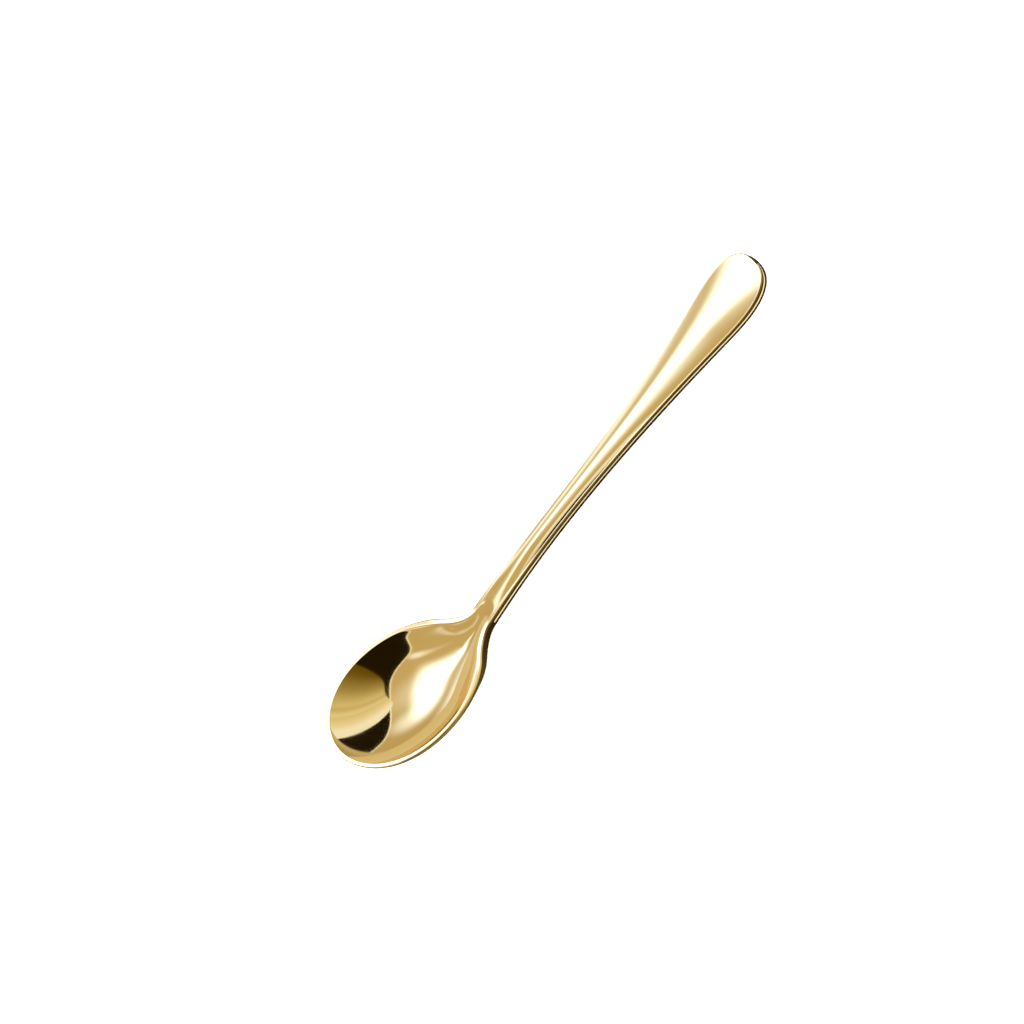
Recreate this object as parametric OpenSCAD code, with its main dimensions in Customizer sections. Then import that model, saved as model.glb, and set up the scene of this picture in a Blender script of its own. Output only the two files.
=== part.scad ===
// A small one-piece table spoon: an oval bowl, a narrow neck and a flat crowned handle
// that widens to a rounded end. It lies as it rests on a table, bowl up: the bowl's
// underside and the handle near its end both touch z = 0. X runs along the spoon, from
// the bowl's tip at -X to the handle's end at +X, and Y runs across it.
//
// The solid is one loft. Stations follow each other along the outline, and each
// station's ring of points goes round the section: across the top, over the rounded
// edge, down the wall and back under.

/* [Overall] */
// Length from the bowl's tip to the handle's end
length = 130; // [115:1:150]
// Radius of the rounding along the top and bottom of the edge
edge_r = 0.35; // [0.2:0.05:0.5]

/* [Bowl] */
// Length of the bowl, from its tip to the neck
bowl_l = 34.8; // [30:0.2:42]
// Width of the bowl across the rim
bowl_w = 27.2; // [22:0.2:32]
// How much fuller the bowl is towards the neck, or below zero towards the tip
bowl_egg = -0.065; // [-0.1:0.005:0.15]
// Depth of the hollow below the rim
hollow_d = 6.4; // [5:0.2:8]
// Thickness of the wall under the deepest place
wall_t = 1.2; // [0.9:0.1:1.6]
// Arc of the bowl's section from its bottom to the rim, in degrees: more is steeper
wall_arc = 60; // [45:1:76]
// Width of the flat land on top of the rim
land_w = 0.9; // [0.6:0.05:1.4]
// Height of the edge round the rim
rim_t = 1.2; // [1:0.1:1.8]
// Fall of the rim from the tip to the neck, in degrees
rim_tilt = 20; // [10:0.5:24]
// Dip of the rim's middle below a straight line, or below zero its rise above it
rim_dip = -0.3; // [-0.6:0.1:1]

/* [Neck] */
// Width of the handle where it leaves the bowl
neck_w = 5.7; // [4.2:0.1:7.5]
// Height of the edge at the neck
neck_t = 2.4; // [2:0.1:3]
// Size of the fillet between the bowl's outline and the handle's
neck_fillet = 3.8; // [2.4:0.1:7]
// How far past the bowl the hollow fades out
hollow_run = 7.5; // [5:0.5:10]
// How far past the bowl the underside's belly fades out
belly_run = 6.5; // [4:0.5:9]
// Rounding of the bend between the rim's line and the handle's, seen from the side
bend_blend = 2; // [1:0.1:3]

/* [Handle] */
// Width that the handle's taper reaches at its end, before the end is rounded off
handle_w = 16.6; // [12:0.2:19]
// Height of the handle's edge
handle_t = 2.2; // [1.6:0.1:2.8]
// Rise of the handle's middle above its edges
crown_h = 0.7; // [0.3:0.1:1.2]
// Rise of the handle's middle above a straight line from neck to end
arch_h = 0.4; // [0:0.1:1.2]
// Lean of that rise towards the neck: above 1 the handle's end turns up a little
arch_lean = 5.8; // [0:0.2:7]
// Share of the handle's widening that is a straight taper: below zero it narrows first
taper_share = -0.5; // [-0.6:0.05:1]
// Power of the rest of the widening: more keeps it for the end
taper_power = 2.6; // [1.5:0.1:4]
// Length of the rounded end
end_l = 16.4; // [10:0.2:20]
// Power of the rounded end: 2 is an ellipse, more is blunter
end_power = 2.4; // [2:0.1:3]

/* [Smoothness] */
// Stations along the front half of the bowl
tip_steps = 18; // [12:1:22]
// Stations along the back of the bowl and the neck
neck_steps = 24; // [16:1:28]
// Stations along the straight of the handle
shank_steps = 22; // [12:1:26]
// Stations along the rounded end
end_steps = 14; // [8:1:16]
// Points across half of the top, and across half of the underside
across_steps = 9; // [6:1:11]
// Points round each rounding of the edge
corner_steps = 3; // [2:1:4]

/* [Hidden] */
gold = "#d9b568";
// The bowl's outline is an egg up to this share of its half length, then a tangent line
egg_end = 0.856;
// Power that sets how gently the hollow rises towards the neck
hollow_power = 1.8;
// The thickening of the edge starts at this share of the bowl's length
thicken_from = 0.7;
// The softening of the hollow's edge starts at this share of the bowl's length
soften_from = 0.55;
// Length behind the neck over which the edge and the crown reach the handle's sizes
settle_l = 26;
// The neck's stations end this far behind the bowl
neck_l = 12;
// Width that is left of the land along the handle
least_land = 0.05;
handle_l = length - bowl_l;
mid_x = bowl_l / 2;
belly_d = hollow_d + wall_t - rim_t;
arc_cos = cos(wall_arc);
arc_sin2 = 1 - arc_cos * arc_cos;

// A step from 0 to 1 with no kink at its ends
function ease(t) = let (c = min(max(t, 0), 1)) c * c * c * (c * (c * 6 - 15) + 10);
// The larger of two values, with a rounded change over from one to the other
function smooth_max(a, b, size) =
    let (h = max(size - abs(a - b), 0) / size) max(a, b) + h * h * size / 4;
// Depth of a bowl's section, 0 at the rim to 1 at the bottom, for q from 0 to 1
function bowl_arc(q) = (sqrt(arc_cos * arc_cos + arc_sin2 * max(q, 0)) - arc_cos) / (1 - arc_cos);
// Depth at x across the section, s = 0 in its middle to 1 at its edge: the edge softens to
// no slope at all towards the neck
function section(full, x, s) =
    let (soft = ease((x / bowl_l - soften_from) / (1 - soften_from)))
    bowl_arc(full * pow(max(1 - s * s, 0), 1 + soft));

// The egg's half width for u from -1 at the tip to 1 at the neck, and its slope
function egg(u) = sqrt(max(1 - u * u, 0)) * (1 + bowl_egg * u);
function egg_slope(u) =
    let (r = sqrt(1 - u * u)) bowl_egg * r - u / r * (1 + bowl_egg * u);
function bowl_half(x) =
    let (u = x / mid_x - 1)
    bowl_w / 2 * (u < egg_end ? egg(u) : egg(egg_end) + egg_slope(egg_end) * (u - egg_end));
function handle_half(x) =
    let (
        q = min(max((x - bowl_l) / handle_l, 0), 1),
        r = min(max((x - length + end_l) / end_l, 0), 1),
        widening = taper_share * q + (1 - taper_share) * pow(q, taper_power)
    )
    (neck_w + (handle_w - neck_w) * widening) / 2
    * pow(1 - pow(r, end_power), 1 / end_power);
function half_width(x) =
    x < mid_x ? bowl_half(x) : smooth_max(bowl_half(x), handle_half(x), neck_fillet);

// Height of the rim above the neck, and its fall at the neck carried on behind it
function rim_rise(x) =
    let (s = min(x / bowl_l, 1))
    (bowl_l - x) * tan(rim_tilt) - 4 * rim_dip * s * (1 - s)
    + 4 * rim_dip * max(x / bowl_l - 1, 0);
function edge_t(x) =
    rim_t + (neck_t - rim_t) * ease((x / bowl_l - thicken_from) / (1 - thicken_from))
    + (handle_t - neck_t) * ease((x - bowl_l) / settle_l);
// How full a hollow from x = start to x = stop is along its middle, from 0 to 1
function fullness(x, start, stop) =
    let (t = min(max((x - start) / (stop - start), 0), 1), top = 1 / (1 + hollow_power))
    t * pow(1 - t, hollow_power) / (top * pow(1 - top, hollow_power));
function hollow_depth(x, s) =
    hollow_d * section(fullness(x, land_w, bowl_l + hollow_run), x, s);
function belly_depth(x, s) =
    belly_d * section(fullness(x, edge_r, bowl_l + belly_run), x, s);
function crown_rise(x, s) =
    let (r = min(max((x - length + end_l) / (end_l - edge_r), 0), 1))
    crown_h * ease((x - bowl_l) / settle_l) * (1 - r * r) * (1 - s * s);

// Stations: close together at both ends, where the outline turns
stations = concat(
    [for (i = [0:tip_steps - 1]) mid_x * (1 - cos(90 * i / tip_steps))],
    [for (i = [0:neck_steps - 1]) mid_x + (mid_x + neck_l) * i / neck_steps],
    [for (i = [0:shank_steps - 1])
        bowl_l + neck_l + (handle_l - neck_l - end_l) * i / shank_steps],
    [for (i = [0:end_steps]) length - end_l * (1 - sin(90 * i / end_steps))]
);
last = len(stations) - 1;

// The neck's height puts the bowl's lowest place at z = 0
neck_z = -min([for (x = stations) if (x < bowl_l) rim_rise(x) - edge_t(x) - belly_depth(x, 0)]);
// Rise of the handle above a straight line, for q from 0 at the neck to 1 at its end
function arch_rise(q) =
    let (c = min(max(q, 0), 1)) 4 * arch_h * c * (1 - c) * (1 + arch_lean * (1 - 2 * c));
function along_handle(x) = (x - bowl_l) / handle_l;
// Height of the handle's top at its end, which puts its underside's lowest place at z = 0
end_z = max([
    for (x = stations)
        let (q = along_handle(x))
        if (q > 0.5) (handle_t - neck_z * (1 - q) - arch_rise(q)) / q
]);
function handle_line(x) =
    let (q = along_handle(x)) neck_z * (1 - q) + end_z * q + arch_rise(q);
// Height of the edge's top, which is the rim round the bowl
function edge_z(x) = smooth_max(neck_z + rim_rise(x), handle_line(x), bend_blend);

// Outline points in plan, and the outward direction at each
outline = [for (x = stations) [x, half_width(x)]];
function before(i) = i > 0 ? outline[i - 1] : [outline[1][0], -outline[1][1]];
function after(i) = i < last ? outline[i + 1] : [outline[last - 1][0], -outline[last - 1][1]];
function outward(i) = let (t = after(i) - before(i)) [-t[1], t[0]] / norm(t);
// The outline's point i, moved inwards by a distance
function inset(i, distance) =
    let (p = outline[i] - outward(i) * distance) [p[0], i == 0 || i == last ? 0 : p[1]];
function land_at(x) = land_w - (land_w - edge_r - least_land) * ease((x - bowl_l) / settle_l);

// Half a ring: top middle, out to the edge, down it and back to the bottom middle
function top_points(i) =
    let (lip = inset(i, land_at(outline[i][0])))
    [for (j = [0:across_steps])
        let (s = sin(90 * j / across_steps))
        [lip[0], s * lip[1], edge_z(lip[0]) - hollow_depth(lip[0], s) + crown_rise(lip[0], s)]];
function corner_points(i, side) =
    [for (j = [0:corner_steps])
        let (
            turn = 90 * (side > 0 ? j : corner_steps - j) / corner_steps,
            p = inset(i, edge_r * (1 - sin(turn))),
            drop = edge_r * (1 - cos(turn))
        )
        [p[0], p[1], side > 0 ? edge_z(p[0]) - drop : edge_z(p[0]) - edge_t(p[0]) + drop]];
function bottom_points(i) =
    let (lip = inset(i, edge_r))
    [for (j = [across_steps - 1:-1:0])
        let (s = sin(90 * j / across_steps))
        [lip[0], s * lip[1], edge_z(lip[0]) - edge_t(lip[0]) - belly_depth(lip[0], s)]];
function half_ring(i) =
    concat(top_points(i), corner_points(i, 1), corner_points(i, -1), bottom_points(i));
function full_ring(i) =
    let (h = half_ring(i))
    concat(h, [for (j = [len(h) - 2:-1:1]) [h[j][0], -h[j][1], h[j][2]]]);

module spoon() {
    rings = [for (i = [0:last]) full_ring(i)];
    around = len(rings[0]);
    points = [for (ring = rings, p = ring) [p[0] - length / 2, p[1], p[2]]];
    faces = [for (i = [0:last - 1], j = [0:around - 1])
        let (
            a = i * around + j,
            b = i * around + (j + 1) % around,
            c = a + around,
            d = b + around
        )
        each [[a, b, d], [a, d, c]]];
    color(gold) polyhedron(points = points, faces = faces, convexity = 4);
}

spoon();
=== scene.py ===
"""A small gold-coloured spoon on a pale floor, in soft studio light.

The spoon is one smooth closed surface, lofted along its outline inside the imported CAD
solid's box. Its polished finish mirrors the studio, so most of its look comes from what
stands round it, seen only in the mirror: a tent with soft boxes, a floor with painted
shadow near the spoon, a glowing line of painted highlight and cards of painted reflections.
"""

import logging
import math
from collections.abc import Sequence
from dataclasses import dataclass, field
from enum import Enum

import bmesh
import bpy
import numpy as np
from mathutils import Matrix, Vector

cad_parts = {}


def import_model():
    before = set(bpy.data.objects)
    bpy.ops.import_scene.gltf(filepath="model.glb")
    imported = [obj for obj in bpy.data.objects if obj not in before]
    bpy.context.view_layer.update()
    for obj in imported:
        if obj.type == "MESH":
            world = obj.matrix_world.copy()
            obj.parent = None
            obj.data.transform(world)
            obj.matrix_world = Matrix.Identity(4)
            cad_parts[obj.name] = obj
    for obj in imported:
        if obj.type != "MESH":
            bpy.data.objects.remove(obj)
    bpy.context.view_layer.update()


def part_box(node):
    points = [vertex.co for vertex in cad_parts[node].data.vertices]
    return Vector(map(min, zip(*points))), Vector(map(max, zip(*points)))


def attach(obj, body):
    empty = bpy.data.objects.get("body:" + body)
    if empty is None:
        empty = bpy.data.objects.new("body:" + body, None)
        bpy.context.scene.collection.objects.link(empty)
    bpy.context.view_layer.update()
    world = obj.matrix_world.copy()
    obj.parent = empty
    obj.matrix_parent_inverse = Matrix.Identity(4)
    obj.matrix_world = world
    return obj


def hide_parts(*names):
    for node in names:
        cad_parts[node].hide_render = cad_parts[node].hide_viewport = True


Color = tuple[float, float, float]
Stops = tuple[tuple[float, Color], ...]
Term = float | Sequence[float] | bpy.types.NodeSocket

LOG = logging.getLogger("spoon")
MM = 0.001
# Points closer together than this, in metres, are one point
MERGE_GAP = 1e-7
# The tint of light that the gold-coloured coating mirrors as white
LAMP_BLUE: Color = (0.35, 0.53, 1.0)
# What the studio shows to a ray that has met the spoon more than once: an even painted glow in the spoon's
# reflections of itself
SEEN_TWICE: Color = (0.8, 1.0, 1.55)
# A ray depth that is past the first reflection and short of the second
FIRST_BOUNCE = 1.5


def ease(t: np.ndarray) -> np.ndarray:
    """A step from 0 to 1 with no kink: six t to the fifth, less fifteen t to the fourth, plus ten t cubed.

    Args:
        t: Where to evaluate it; below 0 it is 0 and above 1 it is 1.

    Returns:
        The step's value for each t.
    """
    c = np.clip(t, 0.0, 1.0)
    return c**3 * (c * (c * 6.0 - 15.0) + 10.0)


def smooth_max(a: np.ndarray, b: np.ndarray, size: float) -> np.ndarray:
    """The larger of two values, with a parabola where they differ by less than size.

    Args:
        a: First values.
        b: Second values.
        size: Difference below which the change over is rounded.

    Returns:
        The rounded maximum.
    """
    h = np.clip(size - np.abs(a - b), 0.0, None) / size
    return np.maximum(a, b) + h * h * size / 4.0


def direction(azimuth: np.ndarray | float, elevation: np.ndarray | float) -> np.ndarray:
    """Unit vectors at angles in degrees: azimuth from +X towards +Y, and elevation above the floor.

    Args:
        azimuth: Angles round the spoon.
        elevation: Angles above the floor.

    Returns:
        An array with one more axis than the angles, holding x, y and z.
    """
    a, e = np.radians(azimuth), np.radians(elevation)
    return np.stack([np.cos(e) * np.cos(a), np.cos(e) * np.sin(a), np.sin(e)], axis=-1)


@dataclass
class SpoonForm:
    """The spoon's shape, in millimetres and degrees.

    Places along the spoon are x, from 0 at the bowl's tip to length at the handle's end.
    Places across a section are s, from 0 in its middle to 1 at its edge.

    Attributes:
        length: Length from the bowl's tip to the handle's end.
        edge_r: Radius of the rounding along the top and bottom of the edge.
        bowl_l: Length of the bowl, from its tip to the neck.
        bowl_w: Width of the bowl across the rim.
        bowl_egg: How much fuller the bowl is towards the neck, or below zero towards the tip.
        hollow_d: Depth of the hollow below the rim.
        wall_t: Thickness of the wall under the deepest place.
        wall_arc: Arc of the bowl's section from its bottom to the rim: more is steeper.
        land_w: Width of the flat land on top of the rim.
        rim_t: Height of the edge round the rim.
        rim_tilt: Fall of the rim from the tip to the neck.
        rim_dip: Dip of the rim's middle below a straight line, or below zero its rise above it.
        neck_w: Width of the handle where it leaves the bowl.
        neck_t: Height of the edge at the neck.
        neck_fillet: Size of the fillet between the bowl's outline and the handle's.
        hollow_run: How far past the bowl the hollow fades out.
        belly_run: How far past the bowl the underside's belly fades out.
        bend_blend: Rounding of the bend between the rim's line and the handle's.
        handle_w: Width that the handle's taper reaches, before its end is rounded off.
        handle_t: Height of the handle's edge.
        crown_h: Rise of the handle's middle above its edges.
        arch_h: Rise of the handle's middle above a straight line from neck to end.
        arch_lean: Lean of that rise towards the neck.
        taper_share: Share of the handle's widening that is a straight taper.
        taper_power: Power of the rest of the widening: more keeps it for the end.
        end_l: Length of the rounded end.
        end_power: Power of the rounded end: 2 is an ellipse, more is blunter.
        egg_end: Share of the bowl's half length at which its outline becomes a tangent line.
        hollow_power: Power that sets how gently the hollow rises towards the neck.
        thicken_from: Share of the bowl's length at which the edge starts to thicken.
        soften_from: Share of the bowl's length at which the hollow's edge starts to soften.
        settle_l: Length behind the neck over which edge and crown reach the handle's sizes.
        least_land: Width that is left of the land along the handle.
        samples: How many places are tried to find each lowest place.
        neck_z: Height of the rim's line at the neck, worked out.
        end_z: Height of the handle's top at its end, worked out.
    """

    length: float
    edge_r: float = 0.35
    bowl_l: float = 34.8
    bowl_w: float = 27.2
    bowl_egg: float = -0.065
    hollow_d: float = 6.4
    wall_t: float = 1.2
    wall_arc: float = 60.0
    land_w: float = 0.9
    rim_t: float = 1.2
    rim_tilt: float = 20.0
    rim_dip: float = -0.3
    neck_w: float = 5.7
    neck_t: float = 2.4
    neck_fillet: float = 3.8
    hollow_run: float = 7.5
    belly_run: float = 6.5
    bend_blend: float = 2.0
    handle_w: float = 16.6
    handle_t: float = 2.2
    crown_h: float = 0.7
    arch_h: float = 0.4
    arch_lean: float = 5.8
    taper_share: float = -0.5
    taper_power: float = 2.6
    end_l: float = 16.4
    end_power: float = 2.4
    egg_end: float = 0.856
    hollow_power: float = 1.8
    thicken_from: float = 0.7
    soften_from: float = 0.55
    settle_l: float = 26.0
    least_land: float = 0.05
    samples: int = 400
    neck_z: float = field(default=0.0, init=False)
    end_z: float = field(default=0.0, init=False)

    def __post_init__(self) -> None:
        """Sets the heights of neck and end so that the bowl and the handle's far half touch z = 0."""
        x = np.linspace(0.0, self.bowl_l, self.samples)
        self.neck_z = -float(np.min(self.rim_rise(x) - self.edge_t(x) - self.belly_depth(x, 0.0)))
        q = np.linspace(0.5, 1.0, self.samples)
        self.end_z = float(np.max((self.handle_t - self.neck_z * (1.0 - q) - self.arch_rise(q)) / q))

    def bowl_arc(self, q: np.ndarray) -> np.ndarray:
        """Depth across the bowl: a circle's arc, from 0 at the rim (q = 0) to 1 at the bottom (q = 1)."""
        c = math.cos(math.radians(self.wall_arc))
        return (np.sqrt(c * c + (1.0 - c * c) * np.clip(q, 0.0, None)) - c) / (1.0 - c)

    def egg(self, u: np.ndarray) -> np.ndarray:
        """Half width of the egg: a circle's times 1 + bowl_egg u, for u from -1 at the tip to 1."""
        return np.sqrt(np.clip(1.0 - u * u, 0.0, None)) * (1.0 + self.bowl_egg * u)

    def bowl_half(self, x: np.ndarray) -> np.ndarray:
        """Half width of the bowl: the egg as far as egg_end, then its tangent line, which falls below zero.

        Args:
            x: Places along the spoon.

        Returns:
            The half width at each place.
        """
        u, e = 2.0 * x / self.bowl_l - 1.0, self.egg_end
        root = math.sqrt(1.0 - e * e)
        slope = self.bowl_egg * root - e / root * (1.0 + self.bowl_egg * e)
        tangent = root * (1.0 + self.bowl_egg * e) + slope * (u - e)
        return self.bowl_w / 2.0 * np.where(u < e, self.egg(np.minimum(u, e)), tangent)

    def handle_half(self, x: np.ndarray) -> np.ndarray:
        """Half width of the handle: part straight taper, part power curve, times the end's superellipse.

        Args:
            x: Places along the spoon.

        Returns:
            The half width at each place.
        """
        q = np.clip((x - self.bowl_l) / (self.length - self.bowl_l), 0.0, 1.0)
        r = np.clip((x - self.length + self.end_l) / self.end_l, 0.0, 1.0)
        widening = self.taper_share * q + (1.0 - self.taper_share) * q**self.taper_power
        rounded = np.clip(1.0 - r**self.end_power, 0.0, None) ** (1.0 / self.end_power)
        return (self.neck_w + (self.handle_w - self.neck_w) * widening) / 2.0 * rounded

    def half_width(self, x: np.ndarray) -> np.ndarray:
        """Half width of the outline: the bowl's and the handle's, run together by a fillet at the neck."""
        both = smooth_max(self.bowl_half(x), self.handle_half(x), self.neck_fillet)
        return np.where(x < self.bowl_l / 2.0, self.bowl_half(x), both)

    def rim_rise(self, x: np.ndarray) -> np.ndarray:
        """Height of the rim above the neck: a tilted line less a parabola's dip, carried on straight behind.

        Args:
            x: Places along the spoon.

        Returns:
            The height at each place.
        """
        s = np.minimum(x / self.bowl_l, 1.0)
        line = (self.bowl_l - x) * math.tan(math.radians(self.rim_tilt))
        past = 4.0 * self.rim_dip * np.clip(x / self.bowl_l - 1.0, 0.0, None)
        return line - 4.0 * self.rim_dip * s * (1.0 - s) + past

    def edge_t(self, x: np.ndarray) -> np.ndarray:
        """Height of the edge's wall: the rim's, eased to the neck's, eased to the handle's.

        Args:
            x: Places along the spoon.

        Returns:
            The wall's height at each place.
        """
        to_neck = ease((x / self.bowl_l - self.thicken_from) / (1.0 - self.thicken_from))
        to_handle = ease((x - self.bowl_l) / self.settle_l)
        near = self.rim_t + (self.neck_t - self.rim_t) * to_neck
        return near + (self.handle_t - self.neck_t) * to_handle

    def fullness(self, x: np.ndarray, start: float, stop: float) -> np.ndarray:
        """How full a hollow is along its middle: t times (1 - t) to hollow_power, scaled to reach 1.

        Args:
            x: Places along the spoon.
            start: Place where the hollow starts, which is t = 0.
            stop: Place where it has faded out, which is t = 1.

        Returns:
            The fullness at each place, from 0 to 1.
        """
        t = np.clip((x - start) / (stop - start), 0.0, 1.0)
        top = 1.0 / (1.0 + self.hollow_power)
        return t * (1.0 - t) ** self.hollow_power / (top * (1.0 - top) ** self.hollow_power)

    def section(self, full: np.ndarray, x: np.ndarray, s: np.ndarray) -> np.ndarray:
        """Depth across: bowl_arc of full times 1 - s squared, to a power from 1 up to 2 at the neck."""
        soft = ease((x / self.bowl_l - self.soften_from) / (1.0 - self.soften_from))
        return self.bowl_arc(full * np.clip(1.0 - s * s, 0.0, None) ** (1.0 + soft))

    def hollow_depth(self, x: np.ndarray, s: np.ndarray) -> np.ndarray:
        """Depth of the hollow below the rim: hollow_d times the section at its fullness there."""
        full = self.fullness(x, self.land_w, self.bowl_l + self.hollow_run)
        return self.hollow_d * self.section(full, x, s)

    def belly_depth(self, x: np.ndarray, s: np.ndarray) -> np.ndarray:
        """Depth of the belly below the edge: hollow_d + wall_t - rim_t, times the section at its fullness."""
        full = self.fullness(x, self.edge_r, self.bowl_l + self.belly_run)
        return (self.hollow_d + self.wall_t - self.rim_t) * self.section(full, x, s)

    def crown_rise(self, x: np.ndarray, s: np.ndarray) -> np.ndarray:
        """Rise of the handle's top above its edges: a parabola across, and one over the rounded end."""
        r = np.clip((x - self.length + self.end_l) / (self.end_l - self.edge_r), 0.0, 1.0)
        return self.crown_h * ease((x - self.bowl_l) / self.settle_l) * (1.0 - r * r) * (1.0 - s * s)

    def arch_rise(self, q: np.ndarray) -> np.ndarray:
        """Rise of the handle above a straight line: a parabola that leans towards the neck, where q is 0."""
        c = np.clip(q, 0.0, 1.0)
        return 4.0 * self.arch_h * c * (1.0 - c) * (1.0 + self.arch_lean * (1.0 - 2.0 * c))

    def edge_z(self, x: np.ndarray) -> np.ndarray:
        """Height of the edge's top: the rim's line and the handle's arched line, run together by a bend.

        Args:
            x: Places along the spoon.

        Returns:
            The height at each place.
        """
        q = (x - self.bowl_l) / (self.length - self.bowl_l)
        handle = self.neck_z * (1.0 - q) + self.end_z * q + self.arch_rise(q)
        return smooth_max(self.neck_z + self.rim_rise(x), handle, self.bend_blend)

    def land_at(self, x: np.ndarray) -> np.ndarray:
        """Width of the flat land inside the edge, which shrinks to almost nothing along the handle."""
        lost = self.land_w - self.edge_r - self.least_land
        return self.land_w - lost * ease((x - self.bowl_l) / self.settle_l)


def add_node(tree: bpy.types.NodeTree, kind: str, inputs: dict[str | int, Term],
             **options: str) -> bpy.types.Node:
    """Adds a node, sets its options and fills its inputs.

    Args:
        tree: The material's node tree.
        kind: The node's type.
        inputs: What goes into each input: a value, or another node's output to be linked.
        **options: The node's own settings, such as its operation.

    Returns:
        The node.
    """
    node = tree.nodes.new(kind)
    for name, option in options.items():
        setattr(node, name, option)
    for key, term in inputs.items():
        if isinstance(term, bpy.types.NodeSocket):
            tree.links.new(term, node.inputs[key])
        else:
            node.inputs[key].default_value = term
    return node


def scalar_math(tree: bpy.types.NodeTree, operation: str, *terms: Term) -> bpy.types.NodeSocket:
    """The outcome of a sum on numbers, as a Math node does it."""
    return add_node(tree, "ShaderNodeMath", dict(enumerate(terms)), operation=operation).outputs["Value"]


def vector_math(tree: bpy.types.NodeTree, operation: str, *terms: Term) -> bpy.types.NodeSocket:
    """The outcome of a sum on vectors, which is a number for a dot product or a length."""
    node = add_node(tree, "ShaderNodeVectorMath", dict(enumerate(terms)), operation=operation)
    return node.outputs["Value" if operation in ("DOT_PRODUCT", "LENGTH") else "Vector"]


def mix_colors(tree: bpy.types.NodeTree, share: Term, first: Term, second: Term) -> bpy.types.NodeSocket:
    """A mix of two colours: the first where share is 0, the second where it is 1."""
    inputs = {"Factor": share, "A": first, "B": second}
    return add_node(tree, "ShaderNodeMix", inputs, data_type="RGBA").outputs["Result"]


def color_ramp(tree: bpy.types.NodeTree, place: bpy.types.NodeSocket,
               stops: Stops) -> bpy.types.NodeSocket:
    """A colour that changes with a place, straight from stop to stop.

    Args:
        tree: The material's node tree.
        place: A number from 0 to 1.
        stops: Places and their colours, in rising order.

    Returns:
        The colour's socket.
    """
    ramp = add_node(tree, "ShaderNodeValToRGB", {"Fac": place})
    elements = ramp.color_ramp.elements
    for index, (where, color) in enumerate(stops):
        stop = elements[index] if index < len(elements) else elements.new(where)
        stop.position, stop.color = where, (*color, 1.0)
    return ramp.outputs["Color"]


def object_place(tree: bpy.types.NodeTree) -> bpy.types.NodeSocket:
    """The place on the piece, in Object coordinates."""
    return tree.nodes.new("ShaderNodeTexCoord").outputs["Object"]


@dataclass(frozen=True)
class Mirror:
    """A polished gold-coloured coating: its colour, and how fine marks and haze vary over it.

    Attributes:
        name: The material's name.
        color: Colour of the coating where it is clean.
        color_worn: Colour of the coating under full haze.
        roughness: Roughness where it is clean.
        roughness_haze: Roughness under full haze.
        haze_scale: Scale of the haze's noise.
        haze_detail: Finer layers of the haze's noise.
        haze_from: Value of the noise at which the roughness starts to rise.
        haze_to: Value of the noise at which it is full.
        marks_scale: Scale of the fine marks' noise.
        marks_detail: Finer layers of the marks' noise.
        marks_stretch: Scale of the marks along x, y and z: less than 1 draws them out.
        relief_strength: How strongly the marks tilt the surface.
        relief_depth: Depth of the marks, in metres.
    """

    name: str = "polished_gold"
    color: Color = (0.93, 0.70, 0.33)
    color_worn: Color = (0.90, 0.66, 0.29)
    roughness: float = 0.05
    roughness_haze: float = 0.1
    haze_scale: float = 90.0
    haze_detail: float = 3.0
    haze_from: float = 0.35
    haze_to: float = 0.75
    marks_scale: float = 2500.0
    marks_detail: float = 2.0
    marks_stretch: tuple[float, float, float] = (0.12, 1.0, 1.0)
    relief_strength: float = 0.02
    relief_depth: float = 0.00005

    def add_haze(self, tree: bpy.types.NodeTree, shader: bpy.types.Node) -> None:
        """Varies the shader's colour and roughness by a soft noise.

        Args:
            tree: The material's node tree.
            shader: The shader, whose two inputs are filled.
        """
        haze = add_node(tree, "ShaderNodeTexNoise", {
            "Vector": object_place(tree), "Scale": self.haze_scale, "Detail": self.haze_detail,
        }).outputs["Fac"]
        rough = add_node(tree, "ShaderNodeMapRange", {
            "Value": haze, "From Min": self.haze_from, "From Max": self.haze_to,
            "To Min": self.roughness, "To Max": self.roughness_haze,
        })
        tint = mix_colors(tree, haze, (*self.color, 1.0), (*self.color_worn, 1.0))
        tree.links.new(rough.outputs["Result"], shader.inputs["Roughness"])
        tree.links.new(tint, shader.inputs["Base Color"])

    def add_marks(self, tree: bpy.types.NodeTree, shader: bpy.types.Node) -> None:
        """Gives the shader a faint relief of fine marks, drawn out along the spoon.

        Args:
            tree: The material's node tree.
            shader: The shader, whose normal is filled.
        """
        stretch = add_node(tree, "ShaderNodeMapping", {
            "Vector": object_place(tree), "Scale": self.marks_stretch,
        })
        marks = add_node(tree, "ShaderNodeTexNoise", {
            "Vector": stretch.outputs["Vector"], "Scale": self.marks_scale, "Detail": self.marks_detail,
        })
        relief = add_node(tree, "ShaderNodeBump", {
            "Height": marks.outputs["Fac"], "Strength": self.relief_strength,
            "Distance": self.relief_depth,
        })
        tree.links.new(relief.outputs["Normal"], shader.inputs["Normal"])

    def material(self) -> bpy.types.Material:
        """Builds the node material.

        Returns:
            A metallic material whose colour, roughness and relief vary by noise on Object coordinates.
        """
        mat = bpy.data.materials.new(self.name)
        mat.use_nodes = True
        shader = mat.node_tree.nodes["Principled BSDF"]
        shader.inputs["Metallic"].default_value = 1.0
        self.add_haze(mat.node_tree, shader)
        self.add_marks(mat.node_tree, shader)
        return mat


def tidy_mesh(mesh: bpy.types.Mesh) -> None:
    """Merges doubles, points the faces outwards and smooths them.

    Args:
        mesh: The mesh, changed in place.
    """
    work = bmesh.new()
    work.from_mesh(mesh)
    bmesh.ops.remove_doubles(work, verts=work.verts, dist=MERGE_GAP)
    bmesh.ops.recalc_face_normals(work, faces=work.faces)
    work.to_mesh(mesh)
    work.free()
    mesh.shade_smooth()


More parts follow.
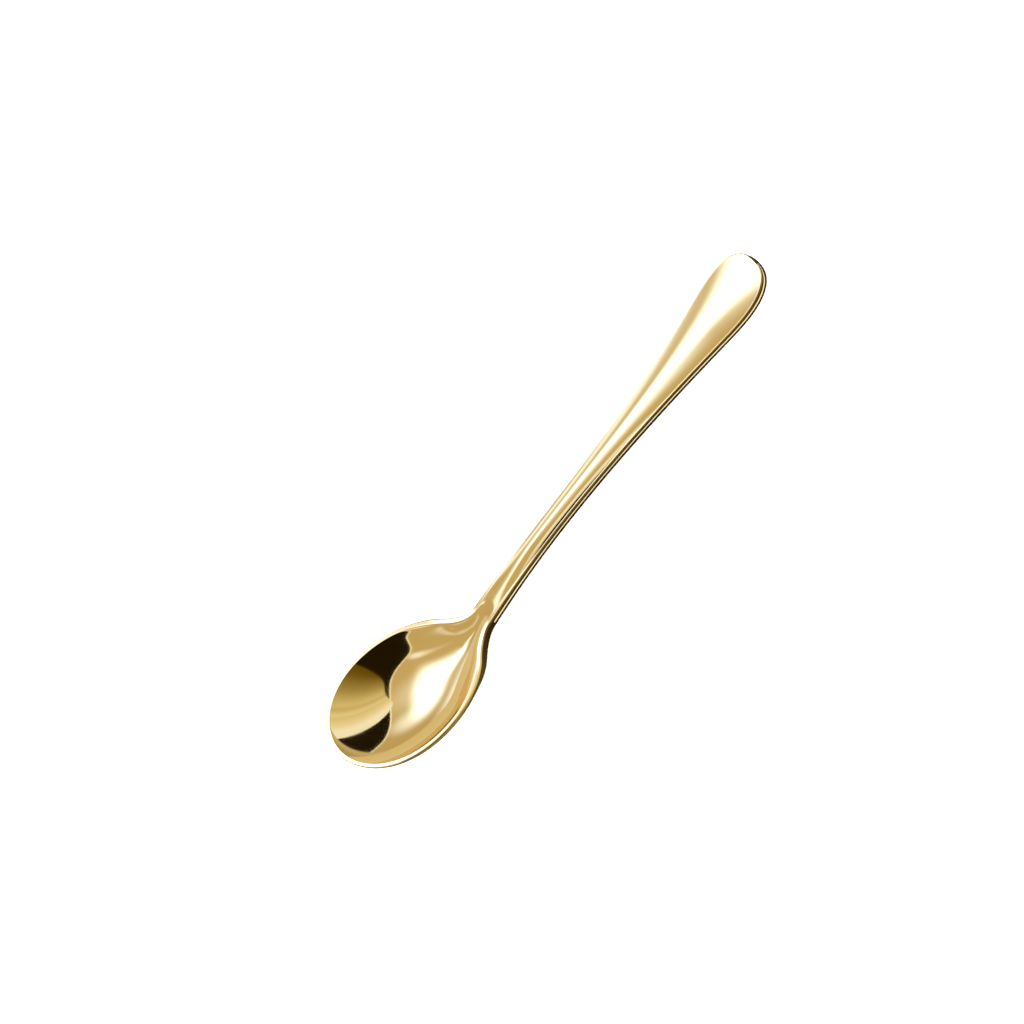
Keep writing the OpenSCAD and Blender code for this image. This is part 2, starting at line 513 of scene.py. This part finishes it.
@dataclass
class Spoon:
    """The spoon itself: one closed smooth surface, lofted from the form.

    Attributes:
        form: The shape, in millimetres.
        finish: The coating.
        low: Lowest corner of the CAD solid's box, in metres.
        high: Highest corner of it.
        tip_steps: Rings along the front half of the bowl.
        neck_steps: Rings along the back of the bowl and the neck.
        shank_steps: Rings along the straight of the handle.
        end_steps: Rings along the rounded end.
        neck_l: How far behind the bowl the neck's rings end, in millimetres.
        across_steps: Points across half of the top, and across half of the underside.
        land_shares: Places of the points across the land, from 0 inside to 1 outside.
        corner_steps: Points round each rounding of the edge.
        wall_steps: Steps down the edge's wall.
    """

    form: SpoonForm
    finish: Mirror
    low: Vector
    high: Vector
    tip_steps: int = 110
    neck_steps: int = 110
    shank_steps: int = 90
    end_steps: int = 60
    neck_l: float = 12.0
    across_steps: int = 44
    land_shares: tuple[float, ...] = (0.1, 0.5, 0.9)
    corner_steps: int = 6
    wall_steps: int = 3

    def stations(self) -> np.ndarray:
        """Places of the rings, close together at both ends: a cosine's, two even runs and a sine's.

        Returns:
            The places along x, rising, in millimetres.
        """
        f = self.form
        mid = f.bowl_l / 2.0
        tip = mid * (1.0 - np.cos(np.pi / 2.0 * np.arange(self.tip_steps) / self.tip_steps))
        neck = mid + (mid + self.neck_l) * np.arange(self.neck_steps) / self.neck_steps
        start = f.bowl_l + self.neck_l
        shank = start + (f.length - start - f.end_l) * np.arange(self.shank_steps) / self.shank_steps
        turn = np.pi / 2.0 * np.arange(self.end_steps + 1) / self.end_steps
        return np.concatenate([tip, neck, shank, f.length - f.end_l * (1.0 - np.sin(turn))])

    def outline(self, x: np.ndarray) -> tuple[np.ndarray, np.ndarray]:
        """Outline points in plan and the outward direction at each, from the chord between its neighbours.

        Args:
            x: Stations along the spoon.

        Returns:
            Points and unit directions, one row of x and y for each station.
        """
        p = np.stack([x, self.form.half_width(x)], axis=1)
        p[0, 1] = p[-1, 1] = 0.0
        mirror = np.array([1.0, -1.0])
        chord = np.vstack([p[1:], p[-2:-1] * mirror]) - np.vstack([p[1:2] * mirror, p[:-1]])
        out = np.stack([-chord[:, 1], chord[:, 0]], axis=1)
        return p, out / np.linalg.norm(out, axis=1)[:, None]

    def grid(self) -> np.ndarray:
        """Points of the closed surface: rings along the spoon, each from the top's middle round to it again.

        Half a ring is the top out to the land, the land, the edge's upper rounding, its wall,
        its lower rounding and the underside back to the middle. The other half mirrors it.

        Returns:
            An array of rings by points by 3, in millimetres, in the form's own x.
        """
        f, x = self.form, self.stations()
        p, out = self.outline(x)

        def inset(distance: np.ndarray) -> np.ndarray:
            """Outline points moved inwards by a distance for each station and column."""
            return p[:, None, :] - out[:, None, :] * distance[..., None]

        s = np.sin(np.pi / 2.0 * np.arange(self.across_steps + 1) / self.across_steps)[None, :]
        lip = inset(f.land_at(x)[:, None])
        top_x = np.repeat(lip[..., 0], s.shape[1], axis=1)
        top_z = f.edge_z(top_x) - f.hollow_depth(top_x, s) + f.crown_rise(top_x, s)
        top = np.stack([top_x, lip[..., 1] * s, top_z], axis=2)

        share = np.array([self.land_shares])
        flat = inset(f.land_at(x)[:, None] * (1.0 - share) + f.edge_r * share)
        land = np.dstack([flat, f.edge_z(flat[..., 0])])

        turn = np.pi / 2.0 * np.arange(self.corner_steps + 1) / self.corner_steps
        corner = inset(np.broadcast_to(f.edge_r * (1.0 - np.sin(turn)), (len(x), len(turn))))
        drop = f.edge_r * (1.0 - np.cos(turn))[None, :]
        upper = np.dstack([corner, f.edge_z(corner[..., 0]) - drop])
        back = corner[:, ::-1]
        lower = np.dstack([back, f.edge_z(back[..., 0]) - f.edge_t(back[..., 0]) + drop[:, ::-1]])

        part = (np.arange(1, self.wall_steps) / self.wall_steps)[None, :, None]
        wall = upper[:, -1:] * (1.0 - part) + lower[:, :1] * part

        low_s = s[:, -2::-1]
        foot = inset(np.full((len(x), 1), f.edge_r))
        low_x = np.repeat(foot[..., 0], low_s.shape[1], axis=1)
        low_z = f.edge_z(low_x) - f.edge_t(low_x) - f.belly_depth(low_x, low_s)
        bottom = np.stack([low_x, foot[..., 1] * low_s, low_z], axis=2)

        half = np.concatenate([top, land, upper, wall, lower, bottom], axis=1)
        other = half[:, -2:0:-1] * np.array([1.0, -1.0, 1.0])
        return np.concatenate([half, other], axis=1)

    def mesh(self) -> bpy.types.Mesh:
        """Builds the closed mesh: a quad between each pair of neighbours, with doubles at both ends merged.

        The points are held inside the CAD solid's box, which the finer grid would pass by a hair.

        Returns:
            The mesh, in metres, in the frame's place.
        """
        rings = self.grid()
        count, around = rings.shape[:2]
        placed = rings.reshape(-1, 3) * MM + np.array([self.low.x, 0.0, 0.0])
        points = np.clip(placed, self.low, self.high)
        ring, step = np.meshgrid(np.arange(count - 1), np.arange(around), indexing="ij")
        a = ring * around + step
        b = ring * around + (step + 1) % around
        quads = np.stack([a, b, b + around, a + around], axis=2).reshape(-1, 4)
        mesh = bpy.data.meshes.new("spoon_surface")
        mesh.from_pydata(points.tolist(), [], quads.tolist())
        tidy_mesh(mesh)
        return mesh

    def build(self) -> bpy.types.Object:
        """Makes the spoon's object, dresses it and seats it on the frame.

        Returns:
            The finished object, at the origin, with its place in its mesh.
        """
        obj = bpy.data.objects.new("polished_spoon", self.mesh())
        bpy.context.scene.collection.objects.link(obj)
        obj.data.materials.append(self.finish.material())
        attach(obj, "root")
        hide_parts("spoon")
        return obj


class SeenBy(Enum):
    """Which rays see a piece of the studio: all of them, or only the spoon's mirror."""

    ALL = "all"
    MIRROR = "mirror"


def add_stage(name: str, points: np.ndarray, seen_by: SeenBy) -> bpy.types.Object:
    """Makes a piece of the studio from a grid of points, with its own material.

    Args:
        name: The piece's name.
        points: Rows by columns by 3, in metres.
        seen_by: Which rays see it. A piece for the mirror alone has its material's nodes cleared,
            for glow_output to fill in.

    Returns:
        The object, with a mesh attribute across that runs from 0 to 1 along each row.
    """
    rows, columns = points.shape[:2]
    row, column = np.meshgrid(np.arange(rows - 1), np.arange(columns - 1), indexing="ij")
    a = row * columns + column
    quads = np.stack([a, a + 1, a + columns + 1, a + columns], axis=2).reshape(-1, 4)
    mesh = bpy.data.meshes.new(name)
    mesh.from_pydata(points.reshape(-1, 3).tolist(), [], quads.tolist())
    mesh.shade_smooth()
    across = np.tile(np.linspace(0.0, 1.0, columns), rows).astype(np.float32)
    mesh.attributes.new("across", "FLOAT", "POINT").data.foreach_set("value", across)
    obj = bpy.data.objects.new(name, mesh)
    bpy.context.scene.collection.objects.link(obj)
    mat = bpy.data.materials.new(name)
    mat.use_nodes = True
    mesh.materials.append(mat)
    if seen_by is SeenBy.MIRROR:
        obj.visible_camera = obj.visible_shadow = obj.visible_diffuse = False
        mat.node_tree.nodes.clear()
    return obj


def glow_output(mat: bpy.types.Material, color: bpy.types.NodeSocket) -> None:
    """Lets a material glow in the spoon's mirror, and evenly where the mirror sees itself.

    Args:
        mat: The material, with no shader yet.
        color: Where the colour of the first reflection comes from.
    """
    tree = mat.node_tree
    depth = tree.nodes.new("ShaderNodeLightPath").outputs["Ray Depth"]
    later = scalar_math(tree, "GREATER_THAN", depth, FIRST_BOUNCE)
    seen = mix_colors(tree, later, color, (*SEEN_TWICE, 1.0))
    glow = add_node(tree, "ShaderNodeEmission", {"Color": seen})
    add_node(tree, "ShaderNodeOutputMaterial", {"Surface": glow.outputs["Emission"]})
    mat.cycles.emission_sampling = "NONE"


@dataclass(frozen=True)
class SoftBox:
    """A soft spot of light on the tent, an ellipse with an even core and a soft border.

    Attributes:
        azimuth: Angle of its middle round the spoon, in degrees.
        elevation: Angle of its middle above the floor.
        half_width: Angle from its middle to its side.
        half_height: Angle from its middle to its top.
        core: Share of the way out at which it starts to fade.
        strength: Brightness of the core.
        color: Tint of its light.
    """

    azimuth: float
    elevation: float
    half_width: float
    half_height: float
    core: float
    strength: float
    color: Color = LAMP_BLUE

    def factor(self, tree: bpy.types.NodeTree, place: bpy.types.NodeSocket) -> bpy.types.NodeSocket:
        """How much of the spot shines in a direction: 1 in its core, easing to 0 at its border.

        The way out is the length of the direction's parts along the spot's two axes, each over
        the sine of the spot's own angle. A spot lights only its own side of the tent.

        Args:
            tree: The material's node tree.
            place: The unit direction from the spoon.

        Returns:
            The factor's socket.
        """
        centre = Vector(direction(self.azimuth, self.elevation))
        side = Vector((-centre.y, centre.x, 0.0)).normalized()
        up = centre.cross(side)
        width, height = math.sin(math.radians(self.half_width)), math.sin(math.radians(self.half_height))
        both = add_node(tree, "ShaderNodeCombineXYZ", {
            "X": vector_math(tree, "DOT_PRODUCT", place, side / width),
            "Y": vector_math(tree, "DOT_PRODUCT", place, up / height),
        })
        soft = add_node(tree, "ShaderNodeMapRange", {
            "Value": vector_math(tree, "LENGTH", both.outputs["Vector"]),
            "From Min": self.core, "From Max": 1.0, "To Min": 1.0, "To Max": 0.0,
        }, interpolation_type="SMOOTHERSTEP")
        front = vector_math(tree, "DOT_PRODUCT", place, centre)
        ahead = scalar_math(tree, "GREATER_THAN", front, 0.0)
        return scalar_math(tree, "MULTIPLY", soft.outputs["Result"], ahead)


@dataclass(frozen=True)
class Tent:
    """A light tent over the spoon, seen only in its mirror: golden cloth with soft boxes shining through.

    The boxes at azimuths from 44 to 134 stand across from the camera, the others on its side.

    Attributes:
        boxes: The soft boxes.
        radius: Radius of the tent, in metres.
        low: Colour of the cloth at the floor.
        high: Colour of the cloth at the top.
        turns: Steps of the grid round the tent.
        rises: Steps of the grid from the floor to the top.
    """

    boxes: tuple[SoftBox, ...] = (
        SoftBox(azimuth=78.0, elevation=59.0, half_width=20.0, half_height=45.0, core=0.1, strength=4.4),
        SoftBox(azimuth=64.0, elevation=36.0, half_width=24.0, half_height=22.0, core=0.0, strength=1.3),
        SoftBox(azimuth=107.0, elevation=55.0, half_width=14.0, half_height=19.0, core=0.15, strength=3.0),
        SoftBox(azimuth=134.0, elevation=58.0, half_width=14.0, half_height=11.0, core=0.0, strength=1.9),
        SoftBox(azimuth=-116.0, elevation=67.0, half_width=14.0, half_height=10.0, core=0.0, strength=1.2),
        SoftBox(azimuth=102.0, elevation=36.0, half_width=14.0, half_height=14.0, core=0.0, strength=0.35),
        SoftBox(azimuth=44.0, elevation=66.0, half_width=30.0, half_height=30.0, core=0.0, strength=0.5),
        SoftBox(azimuth=100.0, elevation=13.0, half_width=20.0, half_height=25.0, core=0.1, strength=1.6),
        SoftBox(azimuth=-144.0, elevation=33.0, half_width=12.0, half_height=12.0, core=0.0, strength=0.6),
    )
    radius: float = 2.6
    low: Color = (0.55, 0.47, 0.29)
    high: Color = (0.62, 0.54, 0.35)
    turns: int = 96
    rises: int = 24

    def build(self) -> bpy.types.Object:
        """Makes the tent, a half sphere whose light is its cloth's plus that of each soft box.

        Returns:
            The tent's object.
        """
        round_it = np.linspace(-180.0, 180.0, self.turns + 1)
        azimuth, elevation = np.meshgrid(round_it, np.linspace(0.0, 90.0, self.rises + 1))
        obj = add_stage("tent", direction(azimuth, elevation) * self.radius, SeenBy.MIRROR)
        mat = obj.data.materials[0]
        tree = mat.node_tree
        place = vector_math(tree, "NORMALIZE", object_place(tree))
        height = add_node(tree, "ShaderNodeSeparateXYZ", {"Vector": place}).outputs["Z"]
        total = mix_colors(tree, height, (*self.low, 1.0), (*self.high, 1.0))
        for box in self.boxes:
            light = Vector(box.color) * box.strength
            total = vector_math(tree, "MULTIPLY_ADD", box.factor(tree, place), light, total)
        glow_output(mat, total)
        return obj


@dataclass(frozen=True)
class Arch:
    """A card bent round the spoon like a piece of a dome, with an arched top.

    Attributes:
        name: The card's name.
        azimuth: Angle of its middle round the spoon, in degrees.
        half_width: Angle from its middle to each side.
        height: Angle of its top above the floor.
        powers: Powers of the top's curve before and after its middle, by azimuth: more is squarer.
        radius: Its distance from the middle of the scene, in metres.
        colors: Its colours across it, by rising azimuth.
        lean: Its turn round the spoon at the floor, which falls evenly to nothing at its height.
        foot: Angle of its foot above the floor.
        steps_across: Points of the grid across the card.
        steps_up: Points of the grid from its foot to its top.
    """

    name: str
    azimuth: float
    half_width: float
    height: float
    powers: tuple[float, float]
    radius: float
    colors: Stops
    lean: float = 0.0
    foot: float = -3.0
    steps_across: int = 160
    steps_up: int = 40

    def build(self) -> bpy.types.Object:
        """Makes the card: its top is a superellipse over the azimuth, and its colour changes across it.

        Returns:
            The card's object.
        """
        s, t = np.meshgrid(np.linspace(-1.0, 1.0, self.steps_across), np.linspace(0.0, 1.0, self.steps_up))
        power = np.where(s < 0.0, *self.powers)
        top = self.height * np.clip(1.0 - np.abs(s) ** power, 0.0, None) ** (1.0 / power)
        elevation = self.foot + (top - self.foot) * t
        lean = self.lean * (1.0 - elevation / self.height)
        points = direction(self.azimuth + self.half_width * s + lean, elevation) * self.radius
        obj = add_stage(self.name, points, SeenBy.MIRROR)
        mat = obj.data.materials[0]
        across = add_node(mat.node_tree, "ShaderNodeAttribute", {}, attribute_name="across")
        glow_output(mat, color_ramp(mat.node_tree, across.outputs["Fac"], self.colors))
        return obj


def even(color: Color) -> Stops:
    """One colour all the way across."""
    return ((0.0, color), (1.0, color))


@dataclass(frozen=True)
class Studio:
    """The pale floor, the room's light, and the tent and cards that the polished spoon mirrors.

    Attributes:
        floor_side: Length of the floor's sides, in metres.
        floor_color: Colour of the floor that the camera sees.
        floor_roughness: Roughness of that floor.
        floor_drop: How far under it the mirrored floor lies, in metres.
        dim_half: Half length of the line round which the mirrored floor is dim with painted shadow, in
            metres.
        floor_reach: Distance from that line at which the last of floor_colors stands, in metres.
        floor_colors: Colours of the mirrored floor, by share of floor_reach: painted shadow near the spoon,
            paler farther off.
        mirror_slope: Distance of the highlight line from the outline, over the height of the wall's middle.
        wall_highlight_half: Half width of the highlight line, as a height on the wall, in millimetres.
        wall_highlight_start: How far behind the bowl the highlight line starts, in millimetres.
        wall_highlight_lift: Height of the highlight line above the floor, in metres.
        wall_highlight_color: Colour of the glow of the painted highlight line.
        room_color: Colour of the room's light.
        room_strength: Strength of the room's light.
        tent: The light tent.
        arches: The cards, seen only in the mirror, with painted dark and bright reflections.
    """

    floor_side: float = 6.0
    floor_color: Color = (0.93, 0.93, 0.93)
    floor_roughness: float = 0.9
    floor_drop: float = 0.0002
    dim_half: float = 0.06
    floor_reach: float = 0.1
    # Painted shadow: the mirrored floor is near black close to the spoon and pales farther off
    floor_colors: Stops = (
        (0.04, (0.02, 0.015, 0.01)), (0.1, (0.1, 0.08, 0.04)), (0.16, (0.1, 0.08, 0.04)),
        (0.24, (0.34, 0.3, 0.18)), (1.0, (0.6, 0.54, 0.38)),
    )
    mirror_slope: float = 0.63
    wall_highlight_half: float = 0.2
    wall_highlight_start: float = 3.0
    wall_highlight_lift: float = 0.0001
    wall_highlight_color: Color = (1.3, 1.4, 1.5)
    room_color: Color = (1.0, 1.0, 1.0)
    room_strength: float = 3.0
    tent: Tent = Tent()
    arches: tuple[Arch, ...] = (
        # A bright card just behind the dark one, which shows round it in the mirror as a thin painted
        # highlight line
        Arch("dark_front_highlight_rim", azimuth=-37.0, half_width=90.2, height=65.2, powers=(5.0, 2.6),
             radius=1.52, colors=even((1.1, 1.2, 1.2))),
        # A near-black card across the camera's side, seen only in the mirror: a painted dark reflection of
        # the unlit room
        Arch("dark_front", azimuth=-37.0, half_width=89.0, height=64.0, powers=(5.0, 2.6),
             radius=1.5, colors=even((0.014, 0.009, 0.003))),
        # Painted reflection of the spoon's own handle, seen in the bowl: bands from dark brown through gold
        # to the white of its highlight
        Arch("handle_reflection_board", azimuth=-14.0, half_width=48.0, height=60.0, powers=(3.6, 6.0),
             radius=1.4, lean=-20.0,
             colors=((0.0, (0.12, 0.08, 0.005)), (0.1, (0.17, 0.12, 0.01)), (0.3, (0.4, 0.34, 0.14)),
                     (0.5, (0.72, 0.68, 0.46)), (0.56, (0.64, 0.58, 0.36)), (0.64, (0.84, 0.84, 0.68)),
                     (0.68, (0.76, 0.73, 0.54)), (0.8, (0.9, 0.92, 0.84)), (0.88, (1.0, 1.1, 1.4)))),
    )

    def square(self, height: float) -> np.ndarray:
        """The floor's four corners, as a grid of points at a height in metres.

        Args:
            height: Height of the corners.

        Returns:
            An array of 2 by 2 by 3.
        """
        ends = np.array([-1.0, 1.0]) * self.floor_side / 2.0
        x, y = np.meshgrid(ends, ends)
        return np.stack([x, y, np.full_like(x, height)], axis=2)

    def floor(self) -> bpy.types.Object:
        """Makes the floor that the camera sees, a wide pale plane at z = 0.

        Returns:
            The floor's object.
        """
        obj = add_stage("floor", self.square(0.0), SeenBy.ALL)
        shader = obj.data.materials[0].node_tree.nodes["Principled BSDF"]
        shader.inputs["Base Color"].default_value = (*self.floor_color, 1.0)
        shader.inputs["Roughness"].default_value = self.floor_roughness
        obj.visible_glossy = False
        return obj

    def wall_highlight_line(self, spoon: Spoon) -> bpy.types.Object:
        """Makes a glowing line on the floor in front of the handle, seen only in the mirror, which paints a
        thin highlight along the handle's wall.

        Args:
            spoon: The spoon, whose outline the line follows at mirror_slope times the wall's middle height.

        Returns:
            The highlight line's object.
        """
        form, x = spoon.form, spoon.stations()
        points, out = spoon.outline(x)
        middle = form.edge_z(x) - form.edge_t(x) / 2.0
        reach = self.mirror_slope * (middle[None, :] + self.wall_highlight_half * np.array([[-1.0], [1.0]]))
        place = points[None, :, :] + out[None, :, :] * reach[..., None]
        place = place[:, x > form.bowl_l + self.wall_highlight_start]
        height = np.full(place.shape[:2], self.wall_highlight_lift)
        grid = np.dstack([place[..., 0] * MM + spoon.low.x, -place[..., 1] * MM, height])
        obj = add_stage("wall_highlight_line", grid, SeenBy.MIRROR)
        mat = obj.data.materials[0]
        # Painted highlight: an even glow that the handle's wall mirrors as a thin bright line
        color = mat.node_tree.nodes.new("ShaderNodeRGB").outputs["Color"]
        color.default_value = (*self.wall_highlight_color, 1.0)
        glow_output(mat, color)
        return obj

    def floor_in_mirror(self) -> bpy.types.Object:
        """Makes what the mirror sees of the floor, with painted shadow: dark where the spoon stands close
        over it, paler far away.

        Its colour goes by the distance from a line along x, dim_half long to each side.

        Returns:
            The mirrored floor's object.
        """
        obj = add_stage("floor_in_mirror", self.square(-self.floor_drop), SeenBy.MIRROR)
        mat = obj.data.materials[0]
        tree = mat.node_tree
        beside = vector_math(tree, "ABSOLUTE", object_place(tree))
        past = vector_math(tree, "SUBTRACT", beside, (self.dim_half, 0.0, 0.0))
        outside = vector_math(tree, "MAXIMUM", past, (0.0, 0.0, 0.0))
        away = scalar_math(tree, "DIVIDE", vector_math(tree, "LENGTH", outside), self.floor_reach)
        # Painted shadow on the mirrored floor, darkest round the spoon's line
        glow_output(mat, color_ramp(tree, away, self.floor_colors))
        return obj

    def room(self) -> None:
        """Sets the room's even light."""
        world = bpy.data.worlds.new("room")
        bpy.context.scene.world = world
        world.use_nodes = True
        back = world.node_tree.nodes["Background"]
        back.inputs["Color"].default_value = (*self.room_color, 1.0)
        back.inputs["Strength"].default_value = self.room_strength

    def build(self, spoon: Spoon) -> list[bpy.types.Object]:
        """Lights the room and makes the floor, the glowing line of painted highlight, the tent and every
        card, round the spoon.

        Args:
            spoon: The spoon, whose outline the highlight line follows.

        Returns:
            The studio's pieces, in the order of their making.
        """
        pieces = [self.floor(), self.wall_highlight_line(spoon), self.floor_in_mirror()]
        self.room()
        return pieces + [self.tent.build()] + [arch.build() for arch in self.arches]


@dataclass(frozen=True)
class Camera:
    """The photograph's viewpoint: far off, looking down at the spoon, and turned about its own axis.

    Attributes:
        aim: The point in the middle of the picture, in metres.
        azimuth: Angle of the camera round the spoon from -Y towards +X, in degrees.
        elevation: Angle of the camera above the floor.
        roll: Turn of the camera about its own axis.
        view_width: Width of what the picture shows at the aim, in metres.
        distance: Distance from the aim, in metres.
        sensor: Width of the sensor, in millimetres.
        clip: Nearest and farthest distance that is shown, in metres.
    """

    aim: tuple[float, float, float]
    azimuth: float
    elevation: float
    roll: float
    view_width: float
    distance: float = 1.6
    sensor: float = 36.0
    clip: tuple[float, float] = (0.05, 20.0)

    def build(self) -> bpy.types.Object:
        """Makes the camera at the given angles, with a lens that takes in view_width at the aim's distance.

        Returns:
            The camera's object.
        """
        a, e = math.radians(self.azimuth), math.radians(self.elevation)
        back = Vector((math.sin(a) * math.cos(e), -math.cos(a) * math.cos(e), math.sin(e)))
        data = bpy.data.cameras.new("camera")
        data.sensor_width = self.sensor
        data.lens = self.sensor * self.distance / self.view_width
        data.clip_start, data.clip_end = self.clip
        obj = bpy.data.objects.new("camera", data)
        bpy.context.scene.collection.objects.link(obj)
        roll = Matrix.Rotation(math.radians(self.roll), 3, "Z")
        turn = (-back).to_track_quat("-Z", "Y").to_matrix() @ roll
        obj.matrix_world = Matrix.Translation(Vector(self.aim) + back * self.distance) @ turn.to_4x4()
        bpy.context.scene.camera = obj
        return obj


def main() -> None:
    """Builds the scene in order and reports each piece."""
    logging.basicConfig(level=logging.INFO, format="%(name)s: %(message)s")
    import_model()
    low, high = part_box("spoon")
    bpy.context.scene.view_settings.view_transform = "Standard"

    camera = Camera(aim=(-0.0052, 0.0054, 0.0099), azimuth=23.8, elevation=55.5, roll=-73.3,
                    view_width=0.2058)
    camera.build()
    LOG.info("camera, %.1f degrees above the floor", camera.elevation)

    spoon = Spoon(form=SpoonForm(length=(high.x - low.x) / MM), finish=Mirror(), low=low, high=high)
    obj = spoon.build()
    LOG.info("spoon, %d points, %d faces", len(obj.data.vertices), len(obj.data.polygons))

    for piece in Studio().build(spoon):
        LOG.info("studio, %s", piece.name)


if __name__ == "__main__":
    main()
